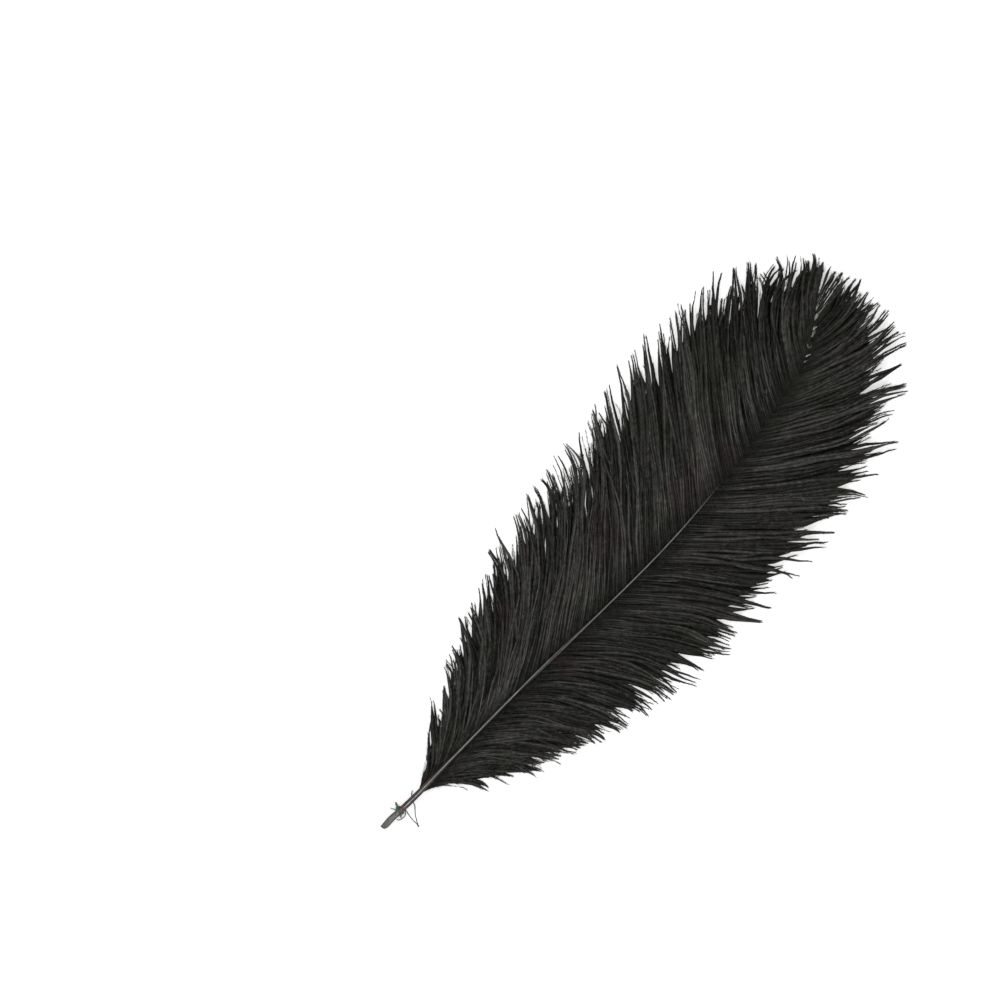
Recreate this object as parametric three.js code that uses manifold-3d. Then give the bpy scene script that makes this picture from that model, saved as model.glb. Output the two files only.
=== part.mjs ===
// A black-dyed ostrich plume, lying on its underside, with two ends of stringing thread
// still tied round its quill.
//
// Millimetres, +Z up. +X runs from the quill to the tip, +Y is the plume's left vane, and
// z = 0 is the surface it lies on. Every table below counts x and y from the quill's cut end;
// the group is moved at the end so that its origin is the middle of the plume's footprint.
import * as THREE from "three";
import { mergeVertices } from "three/addons/utils/BufferGeometryUtils.js";
import Module from "manifold-3d";

const wasm = await Module();
wasm.setup();

// ---------------------------------------------------------------- driving dimensions

const shaftLength = 342; // along x, from the cut end to where the shaft fades out
const vaneStart = 27; // the first barbs grow this far up the quill
const boreRadius = 0.75; // the hollow of the quill, open at its cut end
const boreDepth = 8;
const cutTilt = THREE.MathUtils.degToRad(5); // the quill is trimmed a little askew
const cutInset = 0.2; // how much of the shaft's end the trimming takes off
const threadDiameter = 0.4;
const threadGap = 0.16; // between a thread and the quill it is wound on

// The shaft: distance along x, sideways place, height of its middle, half width, half height.
const shaftTable = [
  [0, 0.5, 1.65, 1.25, 1.65],
  [1.5, 0.08, 1.65, 1.55, 1.65],
  [3, -0.05, 1.65, 1.65, 1.65],
  [6, -0.3, 1.65, 1.7, 1.65],
  [9, -0.8, 1.65, 1.65, 1.65],
  [12, -1.4, 2.1, 1.58, 1.5],
  [20, -2.65, 2.9, 1.58, 1.45],
  [30, -4.0, 3.8, 1.45, 1.35],
  [50, -6.3, 5.7, 1.15, 1.15],
  [100, -12.5, 10.2, 0.85, 0.9],
  [150, -20.2, 13.4, 0.65, 0.7],
  [200, -26.9, 15.0, 0.5, 0.55],
  [250, -29.7, 15.0, 0.4, 0.42],
  [280, -28.9, 13.9, 0.32, 0.34],
  [300, -27.6, 12.6, 0.28, 0.28],
  [312, -25.8, 11.7, 0.25, 0.25],
  [325, -21.1, 10.4, 0.22, 0.22],
  [342, -11.9, 8.6, 0.18, 0.18],
];

// How the barbs of each vane grow: distance of their root along x, their heading in degrees
// at the root, half-way and at the tip, measured from +X, and their length.
const leftVane = [
  [27, 14, 24, 34, 20],
  [32, 12, 28, 43, 45],
  [45, 12, 28, 48, 77],
  [60, 14, 27, 51, 94],
  [80, 17, 28, 51, 102],
  [100, 22, 29, 52, 102],
  [130, 30, 31, 50, 102],
  [160, 36, 38, 49, 101],
  [200, 42, 42, 44, 105],
  [230, 47, 43, 38, 102],
  [250, 50, 42, 33, 95],
  [270, 56, 40, 25, 82],
  [285, 60, 38, 17, 71],
  [300, 60, 34, 13, 61],
  [315, 55, 31, 11, 51],
  [325, 50, 28, 10, 40],
  [335, 40, 26, 12, 26],
  [342, 32, 24, 16, 16],
];
const rightVane = [
  [27, -28, -42, -52, 27],
  [32, -34, -46, -58, 47],
  [45, -38, -50, -66, 55],
  [60, -42, -56, -72, 60],
  [80, -44, -61, -77, 63],
  [100, -45, -62, -80, 67],
  [125, -46, -62, -78, 71],
  [150, -49, -62, -68, 73],
  [175, -51, -59, -50, 74],
  [200, -52, -54, -44, 78],
  [225, -52, -46, -40, 81],
  [250, -50, -39, -32, 81],
  [270, -46, -32, -25, 74],
  [285, -42, -26, -19, 68],
  [300, -37, -20, -13, 62],
  [310, -30, -15, -6, 52],
  [320, -21, -8, 2, 42],
  [328, -11, 0, 6, 33],
  [335, 2, 6, 8, 25],
  [342, 10, 10, 10, 17],
];

// The locks that the barbs cling together in.
const locks = {
  perVane: 32,
  crowding: 0.25, // how much closer they stand at the two ends of the vane
  overlap: 1.24, // width of a lock over the distance to its neighbours
  taperFrom: 0.74, // share of its length where a lock starts to narrow
  tipShare: 0.1, // width left at its tip
  leastWidth: 0.9,
  rootDepth: 2, // how far behind the shaft's middle a lock starts
  thickness: [0.6, 1.15, 0.3], // half thickness at the root, half-way and at the tip
  lift: [2.6, 0.5], // neighbouring locks bow up by these, in turn
  liftHeight: 9, // locks that grow lower than this on the shaft bow up less
  droop: 1.7, // how late a lock sinks to the surface
  lengthSpread: 0.07,
  turnSpread: 2, // degrees
  leftSeed: 3,
  rightSeed: 71,
};

// How finely the surfaces are cut into facets.
const facets = {
  shaftSides: 10,
  shaftSteps: 40,
  evenSteps: 0.3, // share of the shaft's steps that are even; the rest crowd where it swells
  boreSteps: 3,
  linePieces: 24, // straight pieces of a barb's line
  lockSteps: 5,
  turnSteps: 12, // pieces of a turn of thread
  threadSides: 3, // in each half turn of a thread's section
  greenSteps: 56, // pieces of the whole green thread
  darkSteps: 70, // and of the dark one
  tolerance: 0.04, // facets flatter than this are joined
};

// ---------------------------------------------------------------- helpers

// A smooth curve through a table's rows at x: every column but the first.
function rowAt(table, x) {
  const last = table.length - 1;
  const clamped = THREE.MathUtils.clamp(x, table[0][0], table[last][0]);
  let i = 0;
  while (i < last - 1 && clamped > table[i + 1][0]) i += 1;
  const [a, b] = [table[i], table[i + 1]];
  const span = b[0] - a[0];
  const t = (clamped - a[0]) / span;
  const slope = (k, column) => {
    const [before, after] = [table[Math.max(k - 1, 0)], table[Math.min(k + 1, last)]];
    return (after[column] - before[column]) / (after[0] - before[0]);
  };
  return a.slice(1).map((value, k) => {
    const column = k + 1;
    const [m0, m1] = [slope(i, column) * span, slope(i + 1, column) * span];
    const [t2, t3] = [t * t, t * t * t];
    return (
      value * (2 * t3 - 3 * t2 + 1) +
      m0 * (t3 - 2 * t2 + t) +
      b[column] * (3 * t2 - 2 * t3) +
      m1 * (t3 - t2)
    );
  });
}

// The same number between -1 and 1 for the same count, every time.
function scatter(count) {
  const wave = Math.sin(count * 127.1 + 11.7) * 43758.5453;
  return 2 * (wave - Math.floor(wave)) - 1;
}

// A three.js geometry as a solid that can be joined and cut.
function solidOf(geometry) {
  const bare = geometry.clone();
  bare.deleteAttribute("normal");
  bare.deleteAttribute("uv");
  const merged = mergeVertices(bare, 1e-4);
  return new wasm.Manifold(
    new wasm.Mesh({
      numProp: 3,
      vertProperties: merged.attributes.position.array,
      triVerts: new Uint32Array(merged.index.array),
    }),
  );
}

function geometryOf(solid) {
  const mesh = solid.getMesh();
  return new THREE.BufferGeometry()
    .setAttribute("position", new THREE.BufferAttribute(new Float32Array(mesh.vertProperties), 3))
    .setIndex(new THREE.BufferAttribute(new Uint32Array(mesh.triVerts), 1));
}

// A cylinder's side bent along a path: place(u, across, up) says where a point of its unit
// section goes, u running from 0 to 1 along it.
function bentCylinder(sides, steps, place) {
  const geometry = new THREE.CylinderGeometry(1, 1, 1, sides, steps);
  const positions = geometry.attributes.position;
  const turn = Math.PI / sides; // puts a flat side underneath
  for (let i = 0; i < positions.count; i += 1) {
    const [x, y, z] = [positions.getX(i), positions.getY(i), positions.getZ(i)];
    const across = x * Math.cos(turn) - z * Math.sin(turn);
    const up = -(x * Math.sin(turn) + z * Math.cos(turn));
    const moved = place(y + 0.5, across, up);
    positions.setXYZ(i, moved.x, moved.y, moved.z);
  }
  return geometry;
}

// ---------------------------------------------------------------- shaft

function shaftPoint(x) {
  const [y, z] = rowAt(shaftTable, x);
  return new THREE.Vector3(x, y, z);
}

function shaftSolid() {
  const { shaftSides, shaftSteps, evenSteps, boreSteps } = facets;
  const flatShare = 1 / Math.cos(Math.PI / shaftSides); // a flat side stands half a height out
  const stationAt = (u) => shaftLength * (evenSteps * u + (1 - evenSteps) * u * u);
  const outside = bentCylinder(shaftSides, shaftSteps, (u, across, up) => {
    const x = stationAt(u);
    const [y, z, halfWidth, halfHeight] = rowAt(shaftTable, x);
    return new THREE.Vector3(x, y + across * halfWidth, z + up * halfHeight * flatShare);
  });
  const bore = bentCylinder(shaftSides, boreSteps, (u, across, up) => {
    const x = THREE.MathUtils.lerp(-1, boreDepth, u);
    const [y, z] = rowAt(shaftTable, x);
    const radius = boreRadius * Math.sqrt(1.1 - u * u); // the hollow's far end is rounded
    return new THREE.Vector3(x, y + across * radius, z + up * radius);
  });
  const [endY, endZ] = rowAt(shaftTable, 0);
  const trimSize = 8;
  const trim = new THREE.BoxGeometry(trimSize, trimSize, trimSize);
  trim.translate(-trimSize / 2, 0, 0);
  trim.rotateZ(cutTilt);
  trim.translate(cutInset, endY, endZ);
  return solidOf(outside).subtract(solidOf(bore)).subtract(solidOf(trim));
}

// ---------------------------------------------------------------- vanes

// A barb's line in the plane, as points from its root to its tip.
function barbLine(vane, x, lengthShare, turn) {
  const [rootHeading, midHeading, tipHeading, length] = rowAt(vane, x);
  const pieces = facets.linePieces;
  const step = (length * lengthShare + locks.rootDepth) / pieces;
  const start = THREE.MathUtils.degToRad(rootHeading);
  const forward = new THREE.Vector3(Math.cos(start), Math.sin(start), 0);
  const points = [shaftPoint(x).addScaledVector(forward, -locks.rootDepth)];
  for (let i = 0; i < pieces; i += 1) {
    const u = (i + 0.5) / pieces;
    const heading =
      rootHeading * (1 - u) * (1 - 2 * u) + midHeading * 4 * u * (1 - u) + tipHeading * u * (2 * u - 1);
    const angle = THREE.MathUtils.degToRad(heading + turn * u);
    const last = points[i];
    points.push(
      new THREE.Vector3(last.x + step * Math.cos(angle), last.y + step * Math.sin(angle), last.z),
    );
  }
  return points;
}

function alongLine(points, u) {
  const place = THREE.MathUtils.clamp(u, 0, 1) * (points.length - 1);
  const i = Math.min(Math.floor(place), points.length - 2);
  return points[i].clone().lerp(points[i + 1], place - i);
}

// The level direction square to a line at u.
function asideAt(points, u) {
  const nearby = 0.02;
  const ahead = alongLine(points, u + nearby).sub(alongLine(points, u - nearby));
  return new THREE.Vector3(-ahead.y, ahead.x, 0).normalize();
}

function lockStation(i) {
  const t = i / (locks.perVane - 1);
  const crowded = t - (locks.crowding * Math.sin(2 * Math.PI * t)) / (2 * Math.PI);
  return vaneStart + (shaftLength - vaneStart) * crowded;
}

// The lock that follows a line, as wide as the distance to the lines on its two sides.
function lockSolid(line, before, after, neighbours, lift) {
  const [thickRoot, thickMid, thickTip] = locks.thickness;
  const corner = Math.SQRT1_2; // how far out the corners of the four-sided section stand
  const rootHeight = line[0].z;
  const bow = lift * Math.min(1, rootHeight / locks.liftHeight);
  return solidOf(
    bentCylinder(4, facets.lockSteps, (u, across, up) => {
      const middle = alongLine(line, u);
      const aside = asideAt(line, u);
      const gap = alongLine(after, u).sub(alongLine(before, u));
      const pitch = Math.abs(gap.dot(aside)) / neighbours;
      const narrowing = (1 - locks.tipShare) * THREE.MathUtils.smoothstep(u, locks.taperFrom, 1);
      const width = Math.max(pitch * locks.overlap * (1 - narrowing), locks.leastWidth);
      const halfThickness =
        u < 0.5
          ? THREE.MathUtils.lerp(thickRoot, thickMid, 2 * u)
          : THREE.MathUtils.lerp(thickMid, thickTip, 2 * u - 1);
      const sunk = Math.pow(u, locks.droop);
      const height = rootHeight * (1 - sunk) + thickTip * sunk + bow * 4 * u * (1 - u);
      middle.z = Math.max(height, halfThickness) + (up / corner) * halfThickness;
      return middle.addScaledVector(aside, (across / corner) * (width / 2));
    }),
  );
}

function vaneSolids(vane, seed) {
  const lines = Array.from({ length: locks.perVane }, (_, i) => {
    const lengthShare = 1 + locks.lengthSpread * scatter(seed + i);
    return barbLine(vane, lockStation(i), lengthShare, locks.turnSpread * scatter(seed + i + 0.5));
  });
  return lines.map((line, i) => {
    const before = lines[Math.max(i - 1, 0)];
    const after = lines[Math.min(i + 1, lines.length - 1)];
    const neighbours = before === line || after === line ? 1 : 2;
    return lockSolid(line, before, after, neighbours, locks.lift[i % 2]);
  });
}

// The plume: shaft and locks as the one thing they grew as. Pockets that overlapping locks
// close off between them are filled.
function plumeSolid() {
  const all = [
    shaftSolid(),
    ...vaneSolids(leftVane, locks.leftSeed),
    ...vaneSolids(rightVane, locks.rightSeed),
  ];
  const bodies = wasm.Manifold.union(all)
    .simplify(facets.tolerance)
    .decompose()
    .filter((body) => body.volume() > 0);
  return bodies.reduce((largest, body) => (body.volume() > largest.volume() ? body : largest));
}

// ---------------------------------------------------------------- threads

// Turns of thread round the quill, from one place along it to another.
function turnsRound(from, to, firstAngle, turns) {
  const count = Math.round(Math.abs(turns) * facets.turnSteps);
  const out = threadGap + threadDiameter / 2;
  return Array.from({ length: count + 1 }, (_, i) => {
    const x = THREE.MathUtils.lerp(from, to, i / count);
    const [y, z, halfWidth, halfHeight] = rowAt(shaftTable, x);
    const angle = firstAngle + (2 * Math.PI * turns * i) / count;
    return new THREE.Vector3(
      x,
      y + (halfWidth + out) * Math.cos(angle),
      z + (halfHeight + out) * Math.sin(angle),
    );
  });
}

function threadGeometry(points, steps) {
  const section = new THREE.Shape().absarc(0, 0, threadDiameter / 2, 0, 2 * Math.PI);
  return new THREE.ExtrudeGeometry(section, {
    steps,
    curveSegments: facets.threadSides,
    bevelEnabled: false,
    extrudePath: new THREE.CatmullRomCurve3(points, false, "centripetal"),
  });
}

const point = (x, y, z) => new THREE.Vector3(x, y, z);

// A tail, nearly three turns round the quill, and a second tail.
const greenRoute = [
  point(10.2, 3.2, 1.2),
  point(10.8, 2.4, 1.9),
  point(11.2, 1.3, 2.7),
  ...turnsRound(11.4, 12.9, Math.PI * 0.3, 2.75),
  point(13.1, 1.0, 2.0),
  point(13.6, 2.0, 2.4),
  point(14.3, 2.9, 2.1),
];

// A short tail, under the quill, out to a long narrow loop that stands on edge at its end, over
// the quill and back beneath it, and a curl that ends against its side.
const darkRoute = [
  point(24.0, -0.2, 1.0),
  point(22.6, -0.8, 0.75),
  point(21.4, -1.7, 0.65),
  point(20.3, -3.0, 0.75),
  point(19.4, -4.4, 0.8),
  point(18.6, -5.8, 0.5),
  point(16.8, -7.3, 0.3),
  point(14.8, -9.1, 0.3),
  point(13.3, -11.0, 0.3),
  point(12.6, -11.8, 0.28),
  point(12.03, -12.56, 0.3),
  point(11.72, -13.09, 0.5),
  point(11.53, -13.42, 1.03),
  point(11.53, -13.42, 1.67),
  point(11.72, -13.09, 2.2),
  point(12.03, -12.56, 2.4),
  point(12.15, -11.6, 2.25),
  point(12.25, -10.3, 1.8),
  point(12.5, -8.7, 1.3),
  point(13.0, -6.7, 1.0),
  point(13.7, -4.9, 1.2),
  ...turnsRound(14.2, 13.7, Math.PI, -0.75),
  point(13.5, -3.4, 0.4),
  point(12.7, -4.4, 0.35),
  point(11.5, -4.9, 0.3),
  point(10.1, -4.8, 0.3),
  point(8.9, -4.4, 0.3),
  point(8.0, -3.8, 0.3),
  point(7.6, -2.9, 0.3),
];

// ---------------------------------------------------------------- the object

const black = new THREE.MeshStandardMaterial({ color: 0x22221f, roughness: 0.6, metalness: 0 });
const green = new THREE.MeshStandardMaterial({ color: 0x2f7a5c, roughness: 0.8, metalness: 0 });
const grey = new THREE.MeshStandardMaterial({ color: 0x5b5a58, roughness: 0.8, metalness: 0 });

function named(name, geometry, material) {
  const mesh = new THREE.Mesh(geometry, material);
  mesh.name = name;
  return mesh;
}

const plume = named("feather", geometryOf(plumeSolid()), black);
const footprint = new THREE.Box3().setFromObject(plume);

const feather = new THREE.Group();
feather.add(plume);
feather.add(named("green_thread", threadGeometry(greenRoute, facets.greenSteps), green));
feather.add(named("dark_thread", threadGeometry(darkRoute, facets.darkSteps), grey));
feather.position.set(
  -(footprint.min.x + footprint.max.x) / 2,
  -(footprint.min.y + footprint.max.y) / 2,
  0,
);

export default feather;
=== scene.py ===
import math
import bpy
import numpy as np
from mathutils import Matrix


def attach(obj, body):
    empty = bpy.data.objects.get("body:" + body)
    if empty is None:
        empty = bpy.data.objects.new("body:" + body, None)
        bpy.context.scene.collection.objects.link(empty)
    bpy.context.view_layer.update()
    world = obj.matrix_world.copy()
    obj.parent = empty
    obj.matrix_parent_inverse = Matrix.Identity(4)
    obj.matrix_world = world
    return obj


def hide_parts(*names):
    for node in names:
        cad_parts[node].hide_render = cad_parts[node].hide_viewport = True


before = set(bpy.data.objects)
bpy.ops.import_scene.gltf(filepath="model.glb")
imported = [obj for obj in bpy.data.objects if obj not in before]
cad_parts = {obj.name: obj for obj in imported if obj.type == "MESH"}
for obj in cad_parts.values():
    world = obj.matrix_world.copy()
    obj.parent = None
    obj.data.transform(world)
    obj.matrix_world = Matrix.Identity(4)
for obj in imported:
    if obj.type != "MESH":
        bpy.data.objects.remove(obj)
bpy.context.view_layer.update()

mm = 0.001

# Every table counts millimetres from the quill's cut end, x along the plume and y to its left.
# originShift takes that end to its place in the frame.
originShift = np.array([-180.028, 23.268, 0.0])


# camera and lights

cameraView = {
    "lens": 100.0,
    "frameWidth": 500.0,  # how much of the surface the view takes in, mm
    "lookAt": (166.2, 52.7),  # the middle of the view, from the quill's cut end
    "roll": -52.81,  # degrees; the plume runs up to the right
    "subjectHeight": 1.5,  # how high above the surface that width is measured
}


def placeCamera(view):
    data = bpy.data.cameras.new("camera")
    data.lens = view["lens"]
    data.clip_start = 0.01
    camera = bpy.data.objects.new("camera", data)
    distance = view["frameWidth"] * view["lens"] / data.sensor_width
    x, y = np.array(view["lookAt"]) + originShift[:2]
    camera.location = (x * mm, y * mm, (distance + view["subjectHeight"]) * mm)
    camera.rotation_euler = (0, 0, math.radians(view["roll"]))
    bpy.context.collection.objects.link(camera)
    bpy.context.scene.camera = camera


lighting = {
    "sky": 0.24,
    "keyPower": 10.5,
    "keySize": 0.9,
    "keyPlace": (0.1, 1.0, 1.35),
    "fillPower": 11.7,
    "fillSize": 1.4,
    "fillPlace": (-0.2, -1.1, 1.3),
}


def softBox(name, place, size, power):
    data = bpy.data.lights.new(name, "AREA")
    data.shape = "SQUARE"
    data.size = size
    data.energy = power
    light = bpy.data.objects.new(name, data)
    light.location = place
    x, y, z = place
    light.rotation_euler = (math.atan2(math.hypot(x, y), z), 0, math.atan2(-y, -x) - math.pi / 2)
    bpy.context.collection.objects.link(light)


def lightScene(values):
    world = bpy.data.worlds.new("studio")
    bpy.context.scene.world = world
    world.use_nodes = True
    background = world.node_tree.nodes["Background"]
    background.inputs["Color"].default_value = (1, 1, 1, 1)
    background.inputs["Strength"].default_value = values["sky"]
    softBox("key", values["keyPlace"], values["keySize"], values["keyPower"])
    softBox("fill", values["fillPlace"], values["fillSize"], values["fillPower"])
    bpy.context.scene.view_settings.view_transform = "Standard"


placeCamera(cameraView)
lightScene(lighting)
print("camera and lights placed")


# the plume's construction, from the same dimensions as its solids

shaftLength = 342.0
vaneStart = 27.0

# along x, sideways place, height of the middle, half width, half height
shaftTable = [
    [0, 0.5, 1.65, 1.25, 1.65],
    [1.5, 0.08, 1.65, 1.55, 1.65],
    [3, -0.05, 1.65, 1.65, 1.65],
    [6, -0.3, 1.65, 1.7, 1.65],
    [9, -0.8, 1.65, 1.65, 1.65],
    [12, -1.4, 2.1, 1.58, 1.5],
    [20, -2.65, 2.9, 1.58, 1.45],
    [30, -4.0, 3.8, 1.45, 1.35],
    [50, -6.3, 5.7, 1.15, 1.15],
    [100, -12.5, 10.2, 0.85, 0.9],
    [150, -20.2, 13.4, 0.65, 0.7],
    [200, -26.9, 15.0, 0.5, 0.55],
    [250, -29.7, 15.0, 0.4, 0.42],
    [280, -28.9, 13.9, 0.32, 0.34],
    [300, -27.6, 12.6, 0.28, 0.28],
    [312, -25.8, 11.7, 0.25, 0.25],
    [325, -21.1, 10.4, 0.22, 0.22],
    [342, -11.9, 8.6, 0.18, 0.18],
]

# root along x; heading in degrees from +X at the root, half-way and at the tip; length
leftVane = [
    [27, 14, 24, 34, 20],
    [32, 12, 28, 43, 45],
    [45, 12, 28, 48, 77],
    [60, 14, 27, 51, 94],
    [80, 17, 28, 51, 102],
    [100, 22, 29, 52, 102],
    [130, 30, 31, 50, 102],
    [160, 36, 38, 49, 101],
    [200, 42, 42, 44, 105],
    [230, 47, 43, 38, 102],
    [250, 50, 42, 33, 95],
    [270, 56, 40, 25, 82],
    [285, 60, 38, 17, 71],
    [300, 60, 34, 13, 61],
    [315, 55, 31, 11, 51],
    [325, 50, 28, 10, 40],
    [335, 40, 26, 12, 26],
    [342, 32, 24, 16, 16],
]
rightVane = [
    [27, -28, -42, -52, 27],
    [32, -34, -46, -58, 47],
    [45, -38, -50, -66, 55],
    [60, -42, -56, -72, 60],
    [80, -44, -61, -77, 63],
    [100, -45, -62, -80, 67],
    [125, -46, -62, -78, 71],
    [150, -49, -62, -68, 73],
    [175, -51, -59, -50, 74],
    [200, -52, -54, -44, 78],
    [225, -52, -46, -40, 81],
    [250, -50, -39, -32, 81],
    [270, -46, -32, -25, 74],
    [285, -42, -26, -19, 68],
    [300, -37, -20, -13, 62],
    [310, -30, -15, -6, 52],
    [320, -21, -8, 2, 42],
    [328, -11, 0, 6, 33],
    [335, 2, 6, 8, 25],
    [342, 10, 10, 10, 17],
]


def curveBetween(t, start, leaving, end, arriving):
    # the place at share t of the way from start to end, for the slopes at either of them
    return (
        start * (2 * t**3 - 3 * t**2 + 1)
        + leaving * (t**3 - 2 * t**2 + t)
        + end * (3 * t**2 - 2 * t**3)
        + arriving * (t**3 - t**2)
    )


def rowAt(table, x):
    # a smooth curve through the table's rows, at many x at once
    table = np.asarray(table, float)
    last = len(table) - 1
    x = np.clip(np.asarray(x, float), table[0, 0], table[last, 0])
    i = np.clip(np.searchsorted(table[:, 0], x, side="left") - 1, 0, last - 1)
    before, after = np.maximum(np.arange(last + 1) - 1, 0), np.minimum(np.arange(last + 1) + 1, last)
    slope = (table[after] - table[before]) / (table[after, :1] - table[before, :1])
    span = (table[i + 1, 0] - table[i, 0])[..., None]
    t = (x[..., None] - table[i, :1]) / span
    row = curveBetween(t, table[i], slope[i] * span, table[i + 1], slope[i + 1] * span)
    return row[..., 1:]


def smoothStep(x, low, high):
    t = np.clip((x - low) / (high - low), 0, 1)
    return t * t * (3 - 2 * t)


def unit(vectors):
    return vectors / np.maximum(np.linalg.norm(vectors, axis=-1, keepdims=True), 1e-9)


# meshes from arrays

def addPiece(name, parts, material, slot, *nodes):
    # parts is the vertices, a list of arrays of faces, and a dictionary of values for the vertices
    vertices, faces, values = parts
    mesh = bpy.data.meshes.new(name)
    mesh.vertices.add(len(vertices))
    placed = (np.asarray(vertices) + originShift) * mm
    mesh.vertices.foreach_set("co", placed.astype(np.float32).ravel())
    corners = np.concatenate([block.ravel() for block in faces])
    totals = np.concatenate([np.full(len(block), block.shape[1]) for block in faces])
    mesh.loops.add(len(corners))
    mesh.loops.foreach_set("vertex_index", corners.astype(np.int32))
    mesh.polygons.add(len(totals))
    starts = np.concatenate([[0], np.cumsum(totals)[:-1]])
    mesh.polygons.foreach_set("loop_start", starts.astype(np.int32))
    mesh.update(calc_edges=True)
    mesh.polygons.foreach_set("use_smooth", np.ones(len(totals), bool))
    for key, numbers in values.items():
        attribute = mesh.attributes.new(key, "FLOAT", "POINT")
        attribute.data.foreach_set("value", np.asarray(numbers, np.float32))
    mesh.materials.append(material)
    piece = bpy.data.objects.new(name, mesh)
    bpy.context.collection.objects.link(piece)
    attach(piece, "root")
    if nodes:
        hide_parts(*nodes)
    print(name, (totals - 2).sum(), "triangles")
    return piece


def wallsOf(count, rings, sides):
    # the four-sided faces of many tubes, whose rings follow each other in the vertex list
    a = np.arange(count * rings * sides).reshape(count, rings, sides)
    b = np.roll(a, -1, axis=2)
    walls = np.stack([a[:, :-1], b[:, :-1], b[:, 1:], a[:, 1:]], axis=-1).reshape(-1, 4)
    return [walls, a[:, 0, ::-1].reshape(-1, sides), a[:, -1].reshape(-1, sides)]


def tubes(lines, halfWidth, halfHeight, sides):
    # closed tubes along many lines at once; lines is (count, rings, 3)
    ahead = unit(np.gradient(lines, axis=1))
    across = unit(np.cross([0.0, 0.0, 1.0], ahead))
    above = np.cross(ahead, across)
    angle = 2 * np.pi * np.arange(sides) / sides
    ring = (
        across[:, :, None] * (np.cos(angle) * halfWidth[..., None])[..., None]
        + above[:, :, None] * (np.sin(angle) * halfHeight[..., None])[..., None]
    )
    return (lines[:, :, None] + ring).reshape(-1, 3), wallsOf(*lines.shape[:2], sides)


def joinParts(parts):
    # makes one part of several, each as addPiece takes them
    vertices = np.concatenate([part[0] for part in parts])
    starts = np.cumsum([0] + [len(part[0]) for part in parts])
    faces = [block + start for part, start in zip(parts, starts) for block in part[1]]
    values = {key: np.concatenate([part[2][key] for part in parts]) for key in parts[0][2]}
    return vertices, faces, values


# shader helpers and groups

def newGroup(name, inputs, outputs):
    group = bpy.data.node_groups.new(name, "ShaderNodeTree")
    for socketName, kind, value in inputs:
        socket = group.interface.new_socket(socketName, in_out="INPUT", socket_type=kind)
        socket.default_value = value
    for socketName, kind in outputs:
        group.interface.new_socket(socketName, in_out="OUTPUT", socket_type=kind)
    return group, group.nodes.new("NodeGroupInput"), group.nodes.new("NodeGroupOutput")


def feed(tree, socket, value):
    if isinstance(value, tuple):
        socket.default_value = (*value[:3], 1)
    elif isinstance(value, (int, float)):
        socket.default_value = value
    else:
        tree.links.new(value, socket)


def mathNode(tree, operation, a, b=0.0):
    node = tree.nodes.new("ShaderNodeMath")
    node.operation = operation
    feed(tree, node.inputs[0], a)
    feed(tree, node.inputs[1], b)
    return node.outputs[0]


def times(tree, a, b):
    return mathNode(tree, "MULTIPLY", a, b)


def mixColour(tree, factor, a, b, blend="MIX"):
    node = tree.nodes.new("ShaderNodeMix")
    node.data_type = "RGBA"
    node.blend_type = blend
    for key, kind, value in (("Factor", "VALUE", factor), ("A", "RGBA", a), ("B", "RGBA", b)):
        feed(tree, next(s for s in node.inputs if s.name == key and s.type == kind), value)
    return next(s for s in node.outputs if s.type == "RGBA")


def shadeBy(tree, colour, value, low, high, darkest, lightest):
    # multiplies a colour by a grey that follows value
    grey = tree.nodes.new("ShaderNodeCombineColor")
    for socket in grey.inputs:
        tree.links.new(remap(tree, value, low, high, darkest, lightest), socket)
    return mixColour(tree, 1.0, colour, grey.outputs[0], "MULTIPLY")


def readValue(tree, name):
    node = tree.nodes.new("ShaderNodeAttribute")
    node.attribute_name = name
    return node.outputs["Fac"]


def noise(tree, scale, detail, roughness=0.55, stretch=None):
    node = tree.nodes.new("ShaderNodeTexNoise")
    node.inputs["Detail"].default_value = detail
    node.inputs["Roughness"].default_value = roughness
    feed(tree, node.inputs["Scale"], scale)
    place = tree.nodes.new("ShaderNodeTexCoord").outputs["Object"]
    if stretch:
        mapping = tree.nodes.new("ShaderNodeMapping")
        mapping.inputs["Scale"].default_value = stretch
        tree.links.new(place, mapping.inputs["Vector"])
        place = mapping.outputs["Vector"]
    tree.links.new(place, node.inputs["Vector"])
    return node.outputs["Fac"]


def remap(tree, value, fromLow, fromHigh, toLow, toHigh):
    node = tree.nodes.new("ShaderNodeMapRange")
    limits = {"From Min": fromLow, "From Max": fromHigh, "To Min": toLow, "To Max": toHigh}
    for key, number in limits.items():
        node.inputs[key].default_value = number
    tree.links.new(value, node.inputs["Value"])
    return node.outputs["Result"]


def finishSurface(tree, shader, colour, unevenness, height, finish):
    # what every material of the plume has: uneven roughness, a fine relief and little gloss
    tree.links.new(colour, shader.inputs["Base Color"])
    tree.links.new(remap(tree, unevenness, 0.3, 0.7, *finish["roughness"]), shader.inputs["Roughness"])
    bump = tree.nodes.new("ShaderNodeBump")
    bump.inputs["Strength"].default_value, bump.inputs["Distance"].default_value = finish["relief"]
    tree.links.new(height, bump.inputs["Height"])
    tree.links.new(bump.outputs["Normal"], shader.inputs["Normal"])
    shader.inputs["Specular IOR Level"].default_value = finish["gloss"]


dyePatches = {
    "warm": (0.55, 0.75),  # where the broad noise is high the hue drifts to the warm tint
    "cool": (0.45, 0.25),  # and where it is low, to the cool one
    "fineness": 9.0,  # how much smaller the patches of depth are
    "depth": (0.6, 1.4),
}


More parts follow.
